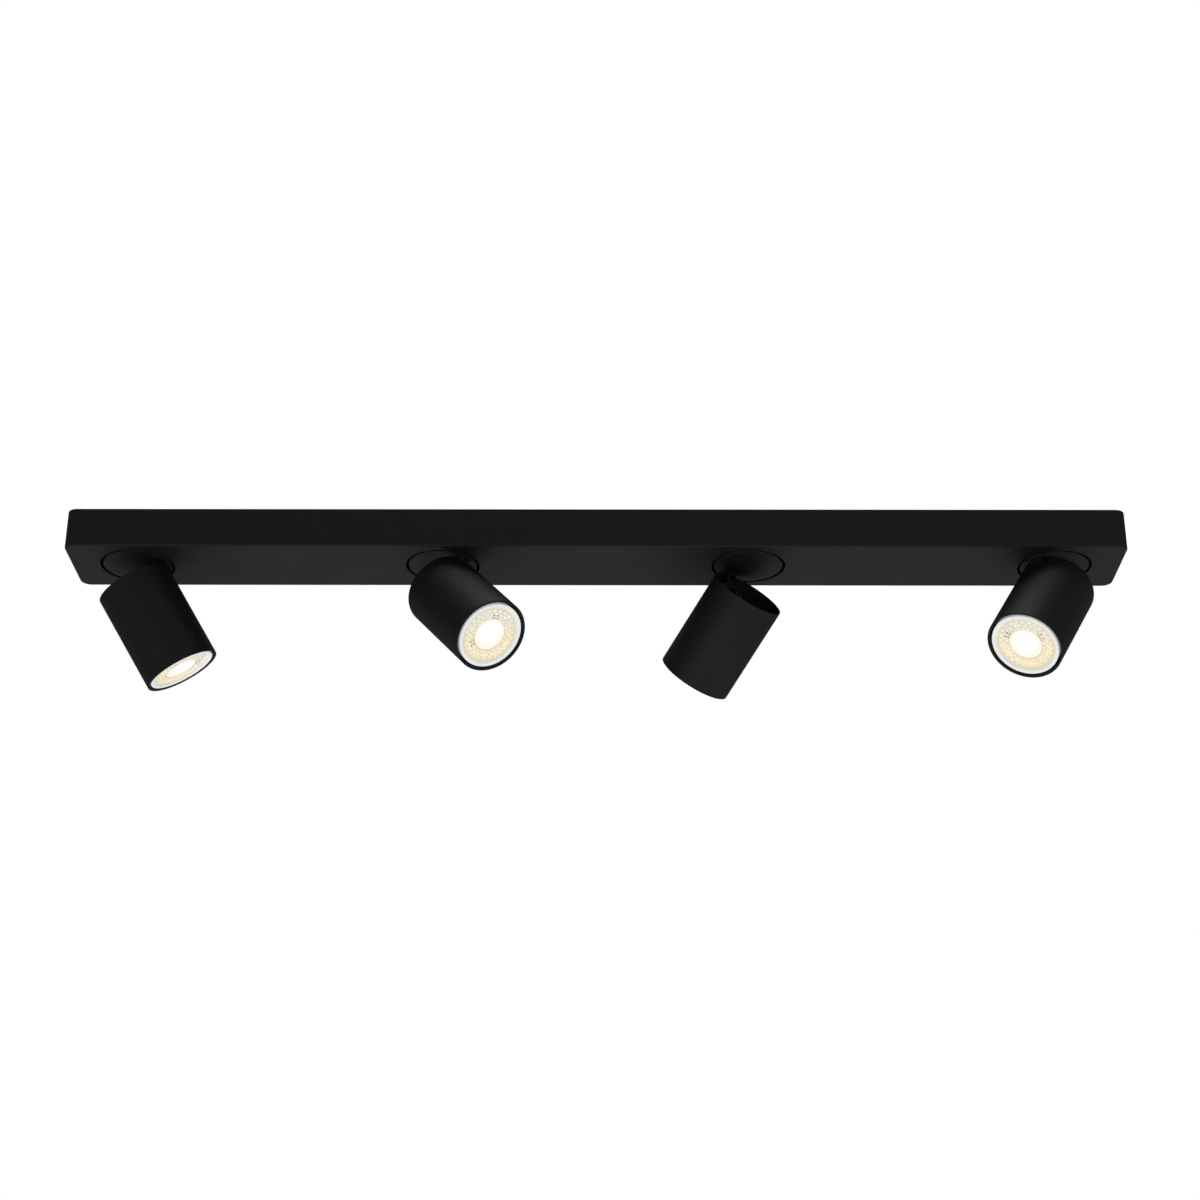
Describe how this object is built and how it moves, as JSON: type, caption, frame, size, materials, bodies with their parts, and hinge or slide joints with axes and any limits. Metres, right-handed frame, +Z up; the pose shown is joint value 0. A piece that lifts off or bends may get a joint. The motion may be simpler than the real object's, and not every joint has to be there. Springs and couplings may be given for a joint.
{
  "type": "ceiling spotlight bar",
  "caption": "Matt black ceiling bar with round swivel discs that carry tilting cylindrical spots, each with a reflector lamp.",
  "frame": {"origin": "middle of the bar on the ceiling plane, halfway between the two ceiling screw slots", "axes": "+X along the bar, +Y across the bar, +Z up into the ceiling; the bar and its heads hang below z = 0"},
  "size_m": [0.8044, 0.1332, 0.1283],
  "materials": {
    "black_powder_coat": "matt fine-grain powder coat",
    "black_steel": "black e-coat, satin",
    "zinc_plated_steel": "bright zinc plate",
    "spring_steel": "bare spring steel",
    "brass": "machined brass",
    "black_screw": "black oxide",
    "white_nylon": "natural nylon",
    "black_rubber": "matt rubber",
    "terminal_plastic": "moulded polyamide",
    "wire_sleeve": "woven glass-fibre sleeve",
    "white_ceramic": "unglazed steatite ceramic",
    "lamp_white_plastic": "semi-gloss white thermoplastic",
    "lamp_lens": "clear moulded lens, lit warm white",
    "silicone_lead": "black silicone insulation"
  },
  "bodies": {
    "base": {"housing": "black_powder_coat", "ceiling_bracket": "zinc_plated_steel", "end_angles": "zinc_plated_steel", "bridge_plates": "black_steel", "friction_washers": "white_nylon", "cable_grommet": "black_rubber", "terminal_block": "terminal_plastic", "terminal_screws": "brass", "earth_screw": "brass", "earth_washer": "brass", "housing_screws": "black_screw", "wiring_harness": "wire_sleeve"},
    "swivel_1": {"swivel_disc_1": "black_powder_coat", "hollow_stem_1": "zinc_plated_steel", "stop_washer_1": "spring_steel", "locknut_1": "brass"},
    "head_1": {"spot_tube_1": "black_powder_coat", "lamp_carrier_1": "black_steel", "pivot_rivet_1": "black_screw", "lampholder_1": "white_ceramic", "holder_screws_1": "black_screw", "lamp_body_1": "lamp_white_plastic", "lamp_lens_1": "lamp_lens", "lamp_leads_1": "silicone_lead"},
    "swivel_2": {"swivel_disc_2": "black_powder_coat", "hollow_stem_2": "zinc_plated_steel", "stop_washer_2": "spring_steel", "locknut_2": "brass"},
    "head_2": {"spot_tube_2": "black_powder_coat", "lamp_carrier_2": "black_steel", "pivot_rivet_2": "black_screw", "lampholder_2": "white_ceramic", "holder_screws_2": "black_screw", "lamp_body_2": "lamp_white_plastic", "lamp_lens_2": "lamp_lens", "lamp_leads_2": "silicone_lead"},
    "swivel_3": {"swivel_disc_3": "black_powder_coat", "hollow_stem_3": "zinc_plated_steel", "stop_washer_3": "spring_steel", "locknut_3": "brass"},
    "head_3": {"spot_tube_3": "black_powder_coat", "lamp_carrier_3": "black_steel", "pivot_rivet_3": "black_screw", "lampholder_3": "white_ceramic", "holder_screws_3": "black_screw", "lamp_body_3": "lamp_white_plastic", "lamp_lens_3": "lamp_lens", "lamp_leads_3": "silicone_lead"},
    "swivel_4": {"swivel_disc_4": "black_powder_coat", "hollow_stem_4": "zinc_plated_steel", "stop_washer_4": "spring_steel", "locknut_4": "brass"},
    "head_4": {"spot_tube_4": "black_powder_coat", "lamp_carrier_4": "black_steel", "pivot_rivet_4": "black_screw", "lampholder_4": "white_ceramic", "holder_screws_4": "black_screw", "lamp_body_4": "lamp_white_plastic", "lamp_lens_4": "lamp_lens", "lamp_leads_4": "silicone_lead"}
  },
  "joints": [
    {"name": "swivel_1", "type": "hinge", "parent": "base", "child": "swivel_1", "pos_m": [-0.35, 0, -0.031], "axis": [0, 0, 1], "range_deg": [-192.5, 157.5]},
    {"name": "tilt_1", "type": "hinge", "parent": "swivel_1", "child": "head_1", "pos_m": [-0.32997, 0.00631, -0.0413], "axis": [0.3007, -0.9537, 0], "range_deg": [-32.5, 57.5]},
    {"name": "swivel_2", "type": "hinge", "parent": "base", "child": "swivel_2", "pos_m": [-0.11667, 0, -0.031], "axis": [0, 0, 1], "range_deg": [-131, 219]},
    {"name": "tilt_2", "type": "hinge", "parent": "swivel_2", "child": "head_2", "pos_m": [-0.10156, -0.01459, -0.0413], "axis": [-0.6947, -0.7193, 0], "range_deg": [-45.5, 44.5]},
    {"name": "swivel_3", "type": "hinge", "parent": "base", "child": "swivel_3", "pos_m": [0.11667, 0, -0.031], "axis": [0, 0, 1], "range_deg": [-306.5, 43.5]},
    {"name": "tilt_3", "type": "hinge", "parent": "swivel_3", "child": "head_3", "pos_m": [0.10275, 0.01573, -0.0413], "axis": [0.749, 0.6626, 0], "range_deg": [-50, 40]},
    {"name": "swivel_4", "type": "hinge", "parent": "base", "child": "swivel_4", "pos_m": [0.35, 0, -0.031], "axis": [0, 0, 1], "range_deg": [-38.5, 311.5]},
    {"name": "tilt_4", "type": "hinge", "parent": "swivel_4", "child": "head_4", "pos_m": [0.33477, -0.01446, -0.0413], "axis": [-0.6884, 0.7254, 0], "range_deg": [-37.5, 52.5]}
  ]
}
